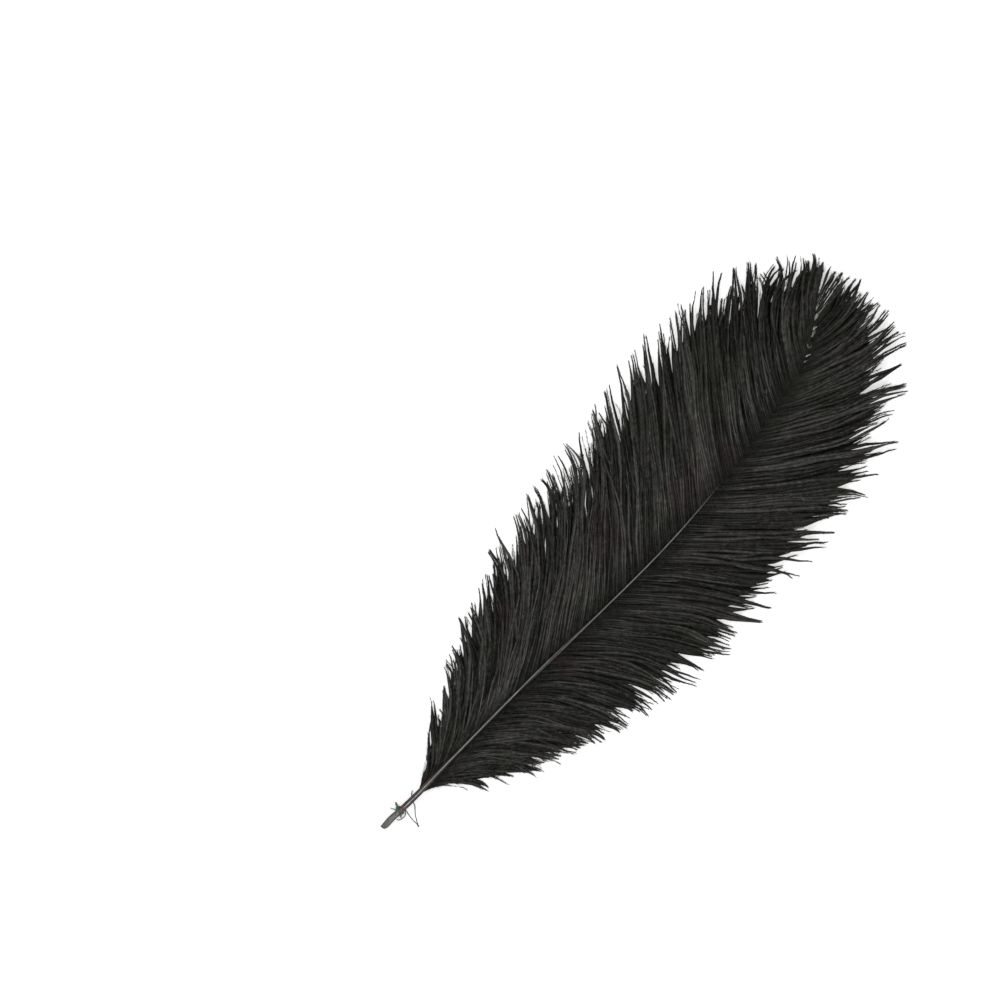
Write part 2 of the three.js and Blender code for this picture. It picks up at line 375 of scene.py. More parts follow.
def makeUnevenDye(values):
    # dye never takes evenly: a faint drift of hue over centimetres and of depth over millimetres
    group, given, result = newGroup(
        "unevenDye",
        [
            ("Colour", "NodeSocketColor", (0.02, 0.02, 0.02, 1)),
            ("Warm Tint", "NodeSocketColor", (0.03, 0.015, 0.015, 1)),
            ("Cool Tint", "NodeSocketColor", (0.015, 0.018, 0.012, 1)),
            ("Patch Scale", "NodeSocketFloat", 40.0),
            ("Strength", "NodeSocketFloat", 0.5),
        ],
        [("Colour", "NodeSocketColor"), ("Patches", "NodeSocketFloat")],
    )
    scale, strength = given.outputs["Patch Scale"], given.outputs["Strength"]
    broad = noise(group, scale, 2.0)
    fine = noise(group, times(group, scale, values["fineness"]), 4.0)
    tinted = given.outputs["Colour"]
    for limits, tint in ((values["warm"], "Warm Tint"), (values["cool"], "Cool Tint")):
        drift = times(group, remap(group, broad, *limits, 0.0, 1.0), strength)
        tinted = mixColour(group, drift, tinted, given.outputs[tint])
    coloured = shadeBy(group, tinted, fine, 0.3, 0.7, *values["depth"])
    group.links.new(coloured, result.inputs["Colour"])
    group.links.new(fine, result.inputs["Patches"])
    return group


unevenDye = makeUnevenDye(dyePatches)


def addUnevenDye(tree, colour, tints, patches):
    # tints are a warm and a cool colour, and patches are the group's scale and strength
    node = tree.nodes.new("ShaderNodeGroup")
    node.node_tree = unevenDye
    keys = ("Colour", "Warm Tint", "Cool Tint", "Patch Scale", "Strength")
    for key, value in zip(keys, (colour, *tints, *patches)):
        feed(tree, node.inputs[key], value)
    return node.outputs["Colour"], node.outputs["Patches"]


def newMaterial(name):
    material = bpy.data.materials.new(name)
    material.use_nodes = True
    return material, material.node_tree, material.node_tree.nodes["Principled BSDF"]


# the two ends of stringing thread

threadValues = {
    "diameter": 0.4,
    "quillGap": 0.16,  # between a thread and the quill it is wound on
    "plies": 3,
    "plyDepth": 0.24,  # depth of the grooves between the plies, share of the radius
    "twist": 1.5,  # length of thread in which a ply goes once round
    "fibreSlant": 0.15,  # how far along the thread its fibres run for each radian round it
    "end": (0.45, 0.3),  # how narrow its cut ends are, share of the width, and the length of that
    "spacing": 0.11,  # between the rings of its mesh
    "sides": 15,
}
threadFuzz = {
    "dark": {"perMm": 70, "length": (0.2, 0.65), "width": 0.06, "opening": (20, 80)},
    "green": {"perMm": 40, "length": (0.3, 1.4), "width": 0.045, "opening": (20, 85)},
}
fuzzValues = {
    "rootPlace": 0.3,  # how far out of the thread's middle a hair starts, share of the width
    "shortest": 0.4,
    "bend": 0.6,
    "lowest": 0.02,
}


def turnsRound(start, end, firstAngle, turns):
    # turns of thread round the quill, from one place along it to another
    perTurn = 12
    share = np.linspace(0, 1, round(abs(turns) * perTurn) + 1)
    x = start + (end - start) * share
    y, z, halfWidth, halfHeight = rowAt(shaftTable, x).T
    angle = firstAngle + 2 * np.pi * turns * share
    out = threadValues["quillGap"] + threadValues["diameter"] / 2
    return np.stack([x, y + (halfWidth + out) * np.cos(angle), z + (halfHeight + out) * np.sin(angle)], -1)


# a tail, nearly three turns round the quill, and a second tail
greenRoute = [
    (10.2, 3.2, 1.2),
    (10.8, 2.4, 1.9),
    (11.2, 1.3, 2.7),
    *turnsRound(11.4, 12.9, np.pi * 0.3, 2.75),
    (13.1, 1.0, 2.0),
    (13.6, 2.0, 2.4),
    (14.3, 2.9, 2.1),
]

# a short tail, under the quill, out to a long narrow loop that stands on edge at its end, over
# the quill and back beneath it, and a curl
darkRoute = [
    (24.0, -0.2, 1.0),
    (22.6, -0.8, 0.75),
    (21.4, -1.7, 0.65),
    (20.3, -3.0, 0.75),
    (19.4, -4.4, 0.8),
    (18.6, -5.8, 0.5),
    (16.8, -7.3, 0.3),
    (14.8, -9.1, 0.3),
    (13.3, -11.0, 0.3),
    (12.6, -11.8, 0.28),
    (12.03, -12.56, 0.3),
    (11.72, -13.09, 0.5),
    (11.53, -13.42, 1.03),
    (11.53, -13.42, 1.67),
    (11.72, -13.09, 2.2),
    (12.03, -12.56, 2.4),
    (12.15, -11.6, 2.25),
    (12.25, -10.3, 1.8),
    (12.5, -8.7, 1.3),
    (13.0, -6.7, 1.0),
    (13.7, -4.9, 1.2),
    *turnsRound(14.2, 13.7, np.pi, -0.75),
    (13.5, -3.4, 0.4),
    (12.7, -4.4, 0.35),
    (11.5, -4.9, 0.3),
    (10.1, -4.8, 0.3),
    (8.9, -4.4, 0.3),
    (8.0, -3.8, 0.3),
    (7.6, -2.9, 0.3),
]


def smoothRoute(points, spacing):
    # a centripetal Catmull-Rom curve through the points, cut into even steps
    points = np.asarray(points, float)
    padded = np.concatenate([[2 * points[0] - points[1]], points, [2 * points[-1] - points[-2]]])
    gaps = np.sqrt(np.linalg.norm(np.diff(padded, axis=0), axis=1))[:, None]
    a, b, c, d = padded[:-3], padded[1:-2], padded[2:-1], padded[3:]
    before, here, after = gaps[:-2], gaps[1:-1], gaps[2:]
    leaving = ((b - a) / before - (c - a) / (before + here) + (c - b) / here) * here
    arriving = ((c - b) / here - (d - b) / (here + after) + (d - c) / after) * here
    perGap = 24
    t = np.linspace(0, 1, perGap, endpoint=False)[:, None, None]
    fine = curveBetween(t, b, leaving, c, arriving)
    fine = np.concatenate([fine.transpose(1, 0, 2).reshape(-1, 3), points[-1:]])
    reach = np.concatenate([[0], np.cumsum(np.linalg.norm(np.diff(fine, axis=0), axis=1))])
    even = np.linspace(0, reach[-1], round(reach[-1] / spacing) + 1)
    return np.stack([np.interp(even, reach, fine[:, k]) for k in range(3)], -1)


def crossDirections(path):
    # two directions square to the path, carried along it without turning about it
    ahead = unit(np.gradient(path, axis=0))
    side = np.zeros_like(path)
    side[0] = unit(np.cross(ahead[0], [0.0, 0.0, 1.0]))
    for i in range(1, len(path)):
        side[i] = unit(side[i - 1] - ahead[i] * np.dot(side[i - 1], ahead[i]))
    return ahead, side, np.cross(ahead, side)


def twistedTube(path, values):
    _, side, other = crossDirections(path)
    angle = 2 * np.pi * np.arange(values["sides"]) / values["sides"]
    reach = np.arange(len(path)) * values["spacing"]
    turned = angle[None] - 2 * np.pi * reach[:, None] / values["twist"]
    ply = np.abs(np.cos(turned * values["plies"] / 2))
    fromEnd = np.minimum(reach, reach[::-1])
    endWidth, endLength = values["end"]
    radius = values["diameter"] / 2 * (1 - values["plyDepth"] * (1 - ply))
    radius = radius * (endWidth + (1 - endWidth) * smoothStep(fromEnd, 0, endLength))[:, None]
    aside, above = (np.cos(angle) * radius)[..., None], (np.sin(angle) * radius)[..., None]
    vertices = path[:, None] + (side[:, None] * aside + other[:, None] * above)
    alongFibre = reach[:, None] + turned * values["fibreSlant"]
    numbers = {"ply": ply.ravel(), "reach": alongFibre.ravel()}
    return vertices.reshape(-1, 3), wallsOf(1, len(path), len(angle)), numbers


# shares of its size that a hair has gone at its bend and at its tip: as it leans, and as it bends
hairBend = (0.55, 0.12)
hairTip = (0.95, 0.5)


def hairParts(base, lean, bend, size, width, lowest):
    # closed, pointed hairs with one bend half-way; base, lean and bend are (count, 3)
    side = unit(np.cross(lean, bend + 1e-3))
    other = np.cross(lean, side)
    angle = np.radians([90, 210, 330])[:, None]
    ring = side[:, None] * np.cos(angle) + other[:, None] * np.sin(angle)
    middle, tip = (
        base + (lean * along + bend * aside) * size[:, None] for along, aside in (hairBend, hairTip)
    )
    rings = [base[:, None] + ring * (width / 2), middle[:, None] + ring * (width / 3)]
    vertices = np.concatenate([*rings, tip[:, None]], 1)
    vertices[..., 2] = np.maximum(vertices[..., 2], lowest)
    walls = np.array([[0, 1, 4, 3], [1, 2, 5, 4], [2, 0, 3, 5]])
    ends = np.array([[2, 1, 0], [3, 4, 6], [4, 5, 6], [5, 3, 6]])
    start = np.arange(len(base))[:, None, None] * vertices.shape[1]
    return vertices.reshape(-1, 3), [(start + walls).reshape(-1, 4), (start + ends).reshape(-1, 3)]


def soiledAt(reach, look):
    return np.interp(reach, *np.array(threadLook[look]["soiledAlong"]).T)


def sideShadeAt(places, values):
    # painted shade: the thread is darkest at the quill's two sides
    y, _, halfWidth, _ = rowAt(shaftTable, places[:, 0]).T
    aside = np.abs(places[:, 1] - y) - halfWidth
    return smoothStep(aside, *values["sideShadeComes"]) * (1 - smoothStep(aside, *values["sideShadeGoes"]))


def fuzzAlong(path, values, rng, spacing):
    # loose fibre ends that stand out of the thread all round
    count = round(values["perMm"] * spacing * len(path))
    ahead, side, other = crossDirections(path)
    at = rng.integers(1, len(path) - 1, count)
    around = rng.uniform(0, 2 * np.pi, count)[:, None]
    out = side[at] * np.cos(around) + other[at] * np.sin(around)
    opening = np.radians(rng.uniform(*values["opening"], count))[:, None]
    way = rng.choice([-1.0, 1.0], count)[:, None]
    lean = unit(ahead[at] * way * np.cos(opening) + out * np.sin(opening))
    bend = rng.normal(0, fuzzValues["bend"], (count, 3))
    base = path[at] + out * threadValues["diameter"] * fuzzValues["rootPlace"]
    size = rng.uniform(*values["length"], count) * rng.uniform(fuzzValues["shortest"], 1, count)
    vertices, faces = hairParts(base, lean, bend, size, values["width"], fuzzValues["lowest"])
    return vertices, faces, np.repeat(at * spacing, len(vertices) // count)


threadLook = {
    "dark": {
        "colour": (0.088, 0.088, 0.086),
        # painted shade in the grooves between plies
        "deep": (0.018, 0.018, 0.018),
        "tints": ((0.10, 0.075, 0.07), (0.045, 0.085, 0.07)),
        "soiled": (0.10, 0.10, 0.10),
        "soiledAlong": [(0.0, 0.0)],  # how soiled, at distances along the thread
    },
    "green": {
        "colour": (0.13, 0.42, 0.29),
        # painted shade in the grooves between plies
        "deep": (0.025, 0.10, 0.065),
        "tints": ((0.18, 0.44, 0.26), (0.08, 0.36, 0.28)),
        "soiled": (0.27, 0.245, 0.21),
        "soiledAlong": [
            (0.0, 0.9), (2.4, 0.7), (4.2, 0.5), (8.0, 0.9), (34.0, 0.95), (36.8, 0.1), (41.0, 0.0),
        ],
    },
}
cottonFinish = {
    # the dark of the grooves is painted shade
    "grooveFade": 0.7,  # below 1 the dark of the grooves between plies is narrower
    # painted shade: this share of the thread's colour is left at the quill's sides
    "darkening": 0.25,  # how much of its colour is left at the quill's sides
    "sideShadeComes": (-0.7, 0.0),  # between these distances out from the quill's side, mm
    "sideShadeGoes": (0.5, 0.9),
    "patches": (700.0, 0.5),
    "fibres": 95.0,  # how many go by in 2 pi mm of thread
    "fibreShade": (0.75, 1.2),
    "relief": (0.3, 0.00004),
    "roughness": (0.6, 0.85),
    "gloss": 0.3,
    "sheen": 0.25,
    "sheenRoughness": 0.5,
}


def makeThreadMaterial(name, look, finish):
    material, tree, shader = newMaterial(name)
    # painted shade: the grooves between the plies take the deep colour
    plyTop = mathNode(tree, "POWER", readValue(tree, "ply"), finish["grooveFade"])
    clean, soiled = (mixColour(tree, plyTop, look["deep"], look[key]) for key in ("colour", "soiled"))
    base = mixColour(tree, readValue(tree, "soiled"), clean, soiled)
    # painted shade darkens the thread at the quill's two sides
    base = shadeBy(tree, base, readValue(tree, "sideShade"), 0.0, 1.0, 1.0, finish["darkening"])
    dyed, depth = addUnevenDye(tree, base, look["tints"], finish["patches"])
    # single fibres run along the twisted plies
    fibres = mathNode(tree, "SINE", times(tree, readValue(tree, "reach"), finish["fibres"]))
    colour = shadeBy(tree, dyed, fibres, -1.0, 1.0, *finish["fibreShade"])
    finishSurface(tree, shader, colour, depth, fibres, finish)
    shader.inputs["Sheen Weight"].default_value = finish["sheen"]
    shader.inputs["Sheen Roughness"].default_value = finish["sheenRoughness"]
    return material


def buildThread(name, route, look, rng):
    spacing = threadValues["spacing"]
    material = makeThreadMaterial(f"{look}Cotton", threadLook[look], cottonFinish)
    path = smoothRoute(route, spacing)
    vertices, faces, numbers = twistedTube(path, threadValues)
    numbers["soiled"] = soiledAt(np.repeat(np.arange(len(path)) * spacing, threadValues["sides"]), look)
    numbers["sideShade"] = sideShadeAt(vertices, cottonFinish)
    thread = addPiece(f"{name}_yarn", (vertices, faces, numbers), material, name, name)
    vertices, faces, reach = fuzzAlong(path, threadFuzz[look], rng, spacing)
    numbers = {
        "ply": np.ones(len(vertices)),
        "reach": reach,
        "soiled": soiledAt(reach, look),
        "sideShade": sideShadeAt(vertices, cottonFinish),
    }
    hairs = addPiece(f"{name}_fuzz", (vertices, faces, numbers), material, name)
    return thread, hairs, path, material


def layDarkThread():
    thread, hairs, path, material = buildThread("dark_thread", darkRoute, "dark", np.random.default_rng(5))
    frayed = addPiece("dark_tuft", tuftParts(darkTuft, np.random.default_rng(6)), material, "dark_thread")


# loose fibres: a wisp under the quill, the fuzzy knot at its side, and the dark loop's frayed end
greenTufts = [
    {"count": 90, "from": (11.2, -2.9, 0.7), "to": (9.6, -3.7, 0.3), "spread": 0.35, "length": (0.8, 2.0)},
    {"count": 1300, "from": (11.9, 0.0, 2.8), "to": (13.9, 1.4, 2.5), "spread": 1.0, "length": (0.4, 1.2)},
    {"count": 300, "from": (13.3, 1.2, 2.3), "to": (14.5, 3.2, 2.1), "spread": 0.45, "length": (0.4, 1.0)},
]
darkTuft = {
    "count": 80, "from": (11.8, -12.9, 1.3), "to": (11.4, -13.9, 0.9), "spread": 0.8, "length": (0.3, 0.8),
}
tuftValues = {
    "rooted": 0.7,  # the hairs start along this share of the tuft
    "scatter": 0.2,  # and this far from its middle line
    "bend": 0.5,
    "width": 0.075,
    "lowest": 0.03,
    "soiled": 0.05,
}


def tuftParts(tuft, rng):
    count = tuft["count"]
    start, end = np.array(tuft["from"]), np.array(tuft["to"])
    base = start + (end - start) * rng.uniform(0, tuftValues["rooted"], (count, 1))
    base = base + rng.normal(0, tuftValues["scatter"], (count, 3))
    lean = unit(unit(end - start) + rng.normal(0, tuft["spread"], (count, 3)))
    size = rng.uniform(*tuft["length"], count)
    bend = rng.normal(0, tuftValues["bend"], (count, 3))
    vertices, faces = hairParts(base, lean, bend, size, tuftValues["width"], tuftValues["lowest"])
    ones = np.ones(len(vertices))
    numbers = {
        "ply": ones,
        "reach": rng.uniform(0, 1, len(vertices)),
        "soiled": ones * tuftValues["soiled"],
        "sideShade": ones * 0,
    }
    return vertices, faces, numbers


def tieGreenThread():
    material = buildThread("green_thread", greenRoute, "green", np.random.default_rng(8))[-1]
    rng = np.random.default_rng(9)
    tufts = joinParts([tuftParts(tuft, rng) for tuft in greenTufts])
    addPiece("green_tufts", tufts, material, "green_thread")


layDarkThread()
tieGreenThread()
print("threads laid")


# the shaft: a hollow quill that thins into the rachis

quillValues = {
    "sides": 44,
    "rings": 190,
    "boreRings": 9,
    "boreRadius": 0.75,
    "boreDepth": 8.0,
    "cutTilt": 5.0,  # degrees
    "cutReach": 3.0,  # how far along the quill the tilt is felt
    "grooveDepth": 0.2,  # share of the half height, in the two grooves along the top
    "groovePlace": (0.48, 0.16),  # their middles and half width, share of the half width
    "grooveFrom": (22.0, 34.0),  # where the grooves start and are full
}
quillLook = {
    "horn": (0.20, 0.19, 0.18),
    # the next two colours are painted light: the rachis's highlight and its lit flanks
    "pale": (0.52, 0.495, 0.465),
    "brown": (0.085, 0.072, 0.068),
    "black": (0.009, 0.009, 0.0085),
    "stain": (0.30, 0.12, 0.10),
    "tints": ((0.14, 0.08, 0.07), (0.08, 0.095, 0.08)),
    "patches": (160.0, 0.35),
    "striae": (60.0, 1500.0, 1500.0),
    "mottling": (1300.0, 0.65, 1.35),  # scale, darkest and lightest
    # a pair is where something is none and where it is full, in mm along the shaft, and a third
    # number is how strong it is there
    "hornEnd": (9.0, 16.0),
    "cutDarkening": (1.2, 0.0, 0.75),
    "stainFrom": (11.5, 13.0, 0.4),
    "stainTo": (16.5, 14.5),
    "brownFades": (28.0, 50.0, 0.15),
    # or across it, in shares of its half width or height
    # painted shade: the horn darkens to black towards its sides
    "hornEdge": (0.5, 0.92),
    # the brown bands are painted light on the rachis's flanks
    "brownMiddle": 0.12,  # the brown bands lie on both sides of this
    "brownFrom": (0.3, 0.45),
    "brownTo": (0.9, 0.72),
    # the pale line is a painted highlight
    "lineSide": (0.0, 0.3),  # the pale line is on the top only
    "paleEnd": (195.0, 252.0),  # where the pale line starts to fade and is gone, mm
    # the pale line's place, a painted highlight, to the left of the shaft's middle, along the shaft, mm, and
    # its strength
    "firstLine": [
        (0, 0.0, 1.0), (24, 0.0, 1.0), (38, 0.15, 0.68), (95, 0.1, 0.54), (115, 0.4, 0.43),
        (128, 0.55, 0.2), (150, 0.5, 0),
    ],
    "secondLine": [
        (100, -0.6, 0), (108, -0.6, 0.22), (122, -0.5, 0.26), (135, -0.15, 0.38), (160, -0.1, 0.44),
        (350, 0.0, 0.44),
    ],
    "lineEdges": (0.15, 0.4),  # half width of its plain part, and where its edge ends, mm
    "relief": (0.25, 0.0001),
    "roughness": (0.36, 0.55),
    "gloss": 0.15,
}


def shaftRings(values):
    # ring centres and radii, from the bottom of the bore to the rim and out along the shaft
    inward = np.linspace(1, 0, values["boreRings"])
    share = np.linspace(0, 1, values["rings"])
    outward = shaftLength * (0.18 * share + 0.82 * share**2)
    x = np.concatenate([values["boreDepth"] * inward, outward])
    rows = rowAt(shaftTable, x)
    boreRadius = values["boreRadius"] * np.sqrt(1.02 - inward**2)
    halfWidth = np.concatenate([boreRadius, rows[len(inward) :, 2]])
    halfHeight = np.concatenate([boreRadius, rows[len(inward) :, 3]])
    return x, rows[:, 0], rows[:, 1], halfWidth, halfHeight


def paintedHighlightAt(x, aside, look):
    # how pale the shaft is at places aside from its middle, from the two pale lines, which are painted
    # highlights
    plain, edge = look["lineEdges"]
    pale = np.zeros_like(aside)
    for line in (look["firstLine"], look["secondLine"]):
        along, middles, strengths = np.array(line).T
        middle, strength = (np.interp(x, along, numbers)[:, None] for numbers in (middles, strengths))
        band = 1 - smoothStep(np.abs(aside - middle), plain, edge)
        pale = np.maximum(pale, band * strength)
    return pale * (1 - smoothStep(x, *look["paleEnd"]))[:, None]


def buildShaft(values, material):
    x, y, z, halfWidth, halfHeight = shaftRings(values)
    sides, rings = values["sides"], len(x)
    angle = 2 * np.pi * (np.arange(sides) + 0.5) / sides
    across, above = np.cos(angle), np.sin(angle)
    grooved = smoothStep(x, *values["grooveFrom"])[:, None] * values["grooveDepth"]
    place, halfGroove = values["groovePlace"]
    groove = np.exp(-(((np.abs(across) - place) / halfGroove) ** 2)) * (above > 0)
    ringY = y[:, None] + halfWidth[:, None] * across
    ringZ = z[:, None] + halfHeight[:, None] * above * (1 - grooved * groove)
    # the cut slants a little across the quill
    nearCut = 1 - smoothStep(x, 0.0, values["cutReach"])[:, None]
    tilt = math.tan(math.radians(values["cutTilt"])) / 2
    ringX = x[:, None] + nearCut * (0.2 + tilt * (0.6 - ringY))
    vertices = np.stack([ringX, ringY, ringZ], -1).reshape(-1, 3)
    vertices[:, 2] = np.maximum(vertices[:, 2], 0.0)
    numbers = {
        "across": np.tile(across, rings),
        "above": np.tile(above, rings),
        "reach": np.repeat(x, sides),
        "inside": np.repeat(np.arange(rings) < values["boreRings"], sides),
        "paintedHighlight": paintedHighlightAt(x, halfWidth[:, None] * across, quillLook).ravel(),
    }
    addPiece("shaft", (vertices, wallsOf(1, rings, sides), numbers), material, "quill", "feather")


def makeQuillMaterial(look):
    material, tree, shader = newMaterial("dyedQuill")
    across, reach = readValue(tree, "across"), readValue(tree, "reach")

    def risen(value, key, low=0.0, high=1.0):
        return remap(tree, value, *look[key][:2], low, high)

    # past the quill's horn the sides are black, with brown bands and a pale line between them: the pale line
    # is a painted highlight along the top, and the brown bands are painted light on the flanks
    line = times(tree, readValue(tree, "paintedHighlight"), risen(readValue(tree, "above"), "lineSide"))
    offCentre = mathNode(tree, "ABSOLUTE", mathNode(tree, "SUBTRACT", across, look["brownMiddle"]))
    band = times(tree, risen(offCentre, "brownFrom"), risen(offCentre, "brownTo"))
    band = times(tree, band, risen(reach, "brownFades", 1.0, look["brownFades"][2]))
    sides = mixColour(tree, band, look["black"], look["brown"])
    rachis = mixColour(tree, line, sides, look["pale"])
    # the horn's sides darken to black, a painted shade where the tube curves away; the horn is darker at the
    # cut end, and mottled
    edge = risen(mathNode(tree, "ABSOLUTE", across), "hornEdge")
    calamus = mixColour(tree, edge, look["horn"], look["black"])
    darkening = risen(reach, "cutDarkening", 0.0, look["cutDarkening"][2])
    calamus = mixColour(tree, darkening, calamus, look["black"])
    spots, darkest, lightest = look["mottling"]
    calamus = shadeBy(tree, calamus, noise(tree, spots, 3.0, 0.6), 0.35, 0.65, darkest, lightest)
    # a reddish stain under the thread
    stained = times(tree, risen(reach, "stainFrom", 0.0, look["stainFrom"][2]), risen(reach, "stainTo"))
    base = mixColour(tree, risen(reach, "hornEnd"), calamus, rachis)
    base = mixColour(tree, stained, base, look["stain"])
    # painted shade: the inside of the bore is coloured black
    base = mixColour(tree, readValue(tree, "inside"), base, look["black"])
    striae = noise(tree, 1.0, 3.0, 0.6, look["striae"])
    base = shadeBy(tree, base, striae, 0.3, 0.7, 0.7, 1.3)
    dyed, _ = addUnevenDye(tree, base, look["tints"], look["patches"])
    finishSurface(tree, shader, dyed, striae, striae, look)
    return material


buildShaft(quillValues, makeQuillMaterial(quillLook))
print("shaft made")


# barbs: where each one runs

barbValues = {
    "crowding": 0.33,  # how much closer they stand at the two ends of the vane
    "steps": 17,
    "tipSteps": 1.5,  # above 1 the steps are finer towards the tip
    # how many neighbouring barbs sway together in a lock, and cling together in a wisp
    "groups": {"lock": (6, 15), "wisp": (1, 5)},
    # how barbs differ in length: alike within a lock, within a wisp, and each for itself
    "lengths": {"lock": (-0.6, 0.6), "wisp": (-1, 0.8), "barb": (-1, 0.4)},
    "lockTurn": 2.0,  # degrees
    "wispTurn": 1.5,
    "barbTurn": 2.5,
    "wave": 3.0,  # degrees
    "tipCalm": 0.6,  # how much less the locks turn and wave near the tip
    "barbWave": 10.0,
    "ruffle": (0.9, 50.0, 165.0),  # barbs near the quill are more ruffled: how much, from, to
    "tipRuffle": (0.8, 225.0, 290.0),
    "barbWaveLength": (28, 60),
    "curl": 13.0,  # how far the end of a wisp turns aside, degrees
    "wiggle": 6.0,  # degrees, near the tips
    "wiggleLength": 9.0,
    # where along a barb these start
    "curlFrom": 0.75,
    "hookFrom": 0.8,
    "wiggleFrom": 0.5,
    "rootAside": 0.7,  # how far out of the shaft's middle the barbs grow, share of its half width
    "closing": (0.1, 0.45),  # where along it a wisp starts to close up, and has done so
    "endClosing": (0.35, 1.0),  # wisps differ in how much they close up at their ends
    "endClosingFrom": (0.6, 0.85),  # and in where that starts
    "lift": (0.7, 1.7),  # how far a lock bows up half-way
    "liftRoom": 9,  # less so where the shaft is lower than this
    "droop": 1.7,
    "tipHeight": (0.3, 2.0),
    "lowest": 0.25,
    "wispRise": 0.24,  # how unevenly high the wisps lie
    "riseFrom": (0.02, 0.25),  # between these shares of a barb's length
    "wispRoof": 0.05,  # how much the middle barb of a wisp stands above the others
    "coverFrom": (190.0, 245.0),  # where the barbs begin to close over the shaft, and hide it
    "tones": {"lock": 0.06, "wisp": 0.14, "barb": 0.8},  # how much of its tone each has
    "gleam": 0.7,  # how much lighter a barb gets where it turns to the light
    "gleamLength": {1: (4, 13), -1: (6, 22)},  # on the left and on the right vane
    "middleTone": 0.42,
    "brightest": 1.3,
    "evenness": {1: 0.0, -1: 0.22},  # how near all barbs are to the middle tone, on either vane
    "rootShade": (2.0, 18.0, 0.25),  # the barbs are darker near the shaft: from, to, and how much
    "darkTipFrom": (0.4, 0.8),  # where along a barb a dark tip starts and is full
    "thinnest": 0.35,  # half width of the down, at least
    "tipDown": 0.12,  # share of its down that a barb keeps at its tip
    "bareDown": 0.06,  # and at a bare root
}
barbLayers = {
    "under": {
        "count": 165,
        "length": 0.945,
        "tipCut": {1: 0.01, -1: 0.07},  # how much shorter its barbs are near the tip, on either vane
        "spread": 0.08,
        "turn": 0.45,  # how freely its barbs turn aside
        "gather": (0.0, 0.45),  # how much a wisp closes up along its way, and at its end
        "sink": 0.9,
        "cover": 0.85,  # half width of the down over the distance between barbs
        "widest": 2.1,
        "taper": (0.75, 0.99),  # where along the barb the down narrows
        # painted shade: the under layer's tones stop lower, as it lies beneath the upper barbs
        "tone": (0.04, 0.46),
    },
    "upper": {
        "count": 270,
        "length": 0.96,
        "tipCut": {1: -0.04, -1: -0.04},
        "spread": 0.07,
        "turn": 1.0,
        "gather": (0.12, 0.85),
        "sink": 0.0,
        "cover": 0.68,
        "widest": 1.0,
        "taper": (0.74, 1.08),
        "tone": (0.05, 1.0),
    },
    "sweep": {
        "count": 20,
        "length": 1.0,
        "tipCut": {1: 0.0, -1: 0.0},
        "spread": 0.08,
        "turn": 1.0,
        "gather": (0.3, 0.5),
        "sink": -0.6,
        "cover": 0.3,
        "widest": 0.8,
        "taper": (0.5, 0.95),
        "tone": (0.3, 1.0),
    },
    # stray barbs that lie across the others
    "stray": {
        "count": 70,
        "length": 0.82,
        "tipCut": {1: 0.0, -1: 0.0},
        "spread": 0.14,
        "turn": 4.0,
        "gather": (0.0, 0.3),
        "sink": -0.5,
        "cover": 0.2,
        "widest": 0.5,
        "taper": (0.4, 0.9),
        "tone": (0.1, 1.0),
    },
}
# how far along each barb its rings lie, 0 to 1
barbGrid = 1 - (1 - np.linspace(0, 1, barbValues["steps"] + 1)) ** barbValues["tipSteps"]

# long barbs that grow low on the shaft and sweep forward over the rest of the left vane
sweepVane = [
    [52, 9, 11, 26, 108],
    [66, 9, 13, 36, 128],
    [82, 10, 17, 44, 138],
]

# places that the longest wisps reach
leftTips = [
    (44, 4.5), (59, 14), (66, 19.5), (73, 17.5), (84, 24.5), (89.5, 25.5), (101, 34), (105, 32),
    (109, 29), (115.5, 26), (124, 31), (132.5, 34), (142.5, 41.5), (148.5, 43), (153.5, 46),
    (166, 41.5), (176, 43), (181, 43), (187, 42), (191.5, 43), (199, 43), (207.5, 43), (217, 41.5),
    (230, 43), (242, 43.5), (255, 46.5), (274, 46), (282.5, 41), (291, 41), (296.5, 39.5),
    (308.5, 38), (322, 37), (327.5, 37.5), (330, 30.5), (334.5, 28.5), (338.5, 23), (346, 15),
    (349.5, 11), (354, 6.5), (359, 2),
]
rightTips = [
    (46, -29), (48, -29), (59.5, -35), (67, -44), (70.5, -45), (83.5, -47), (91.5, -53.5), (98, -58),
    (102.5, -61), (110, -64.5), (114.5, -66.5), (118.5, -65), (124.5, -71.5), (128.5, -71.5),
    (133, -72), (137.5, -74), (141.5, -77.5), (144.5, -76), (153, -81), (159, -80.5), (174.5, -85),
    (176.5, -84.5), (196.5, -88), (204, -88), (212.5, -85), (220.5, -87), (226.5, -89.5),
    (236, -90), (254, -90), (266, -89), (275.5, -89), (277.5, -94), (290.5, -90), (300, -84.5),
    (308.5, -88), (320, -77.5), (331.5, -76.5), (334.5, -74), (342.5, -68), (351, -62),
    (354.5, -58.5), (355, -51), (359, -45), (359, -39), (360, -35), (360, -31), (362.5, -24.5),
    (360, -19), (359, -8.5),
]


def barbStations(count):
    t = np.linspace(0, 1, count)
    crowded = t - barbValues["crowding"] * np.sin(2 * np.pi * t) / (2 * np.pi)
    return vaneStart + (shaftLength - vaneStart) * crowded


def groupsOf(rng, count, smallest, largest):
    # splits a row of barbs into neighbouring groups; gives each barb its group's number
    sizes = rng.integers(smallest, largest + 1, count)
    return np.repeat(np.arange(count), sizes)[:count]


def groupMean(numbers, group):
    total = np.zeros((group.max() + 1,) + numbers.shape[1:])
    np.add.at(total, group, numbers)
    return (total / np.bincount(group).reshape((-1,) + (1,) * (numbers.ndim - 1)))[group]


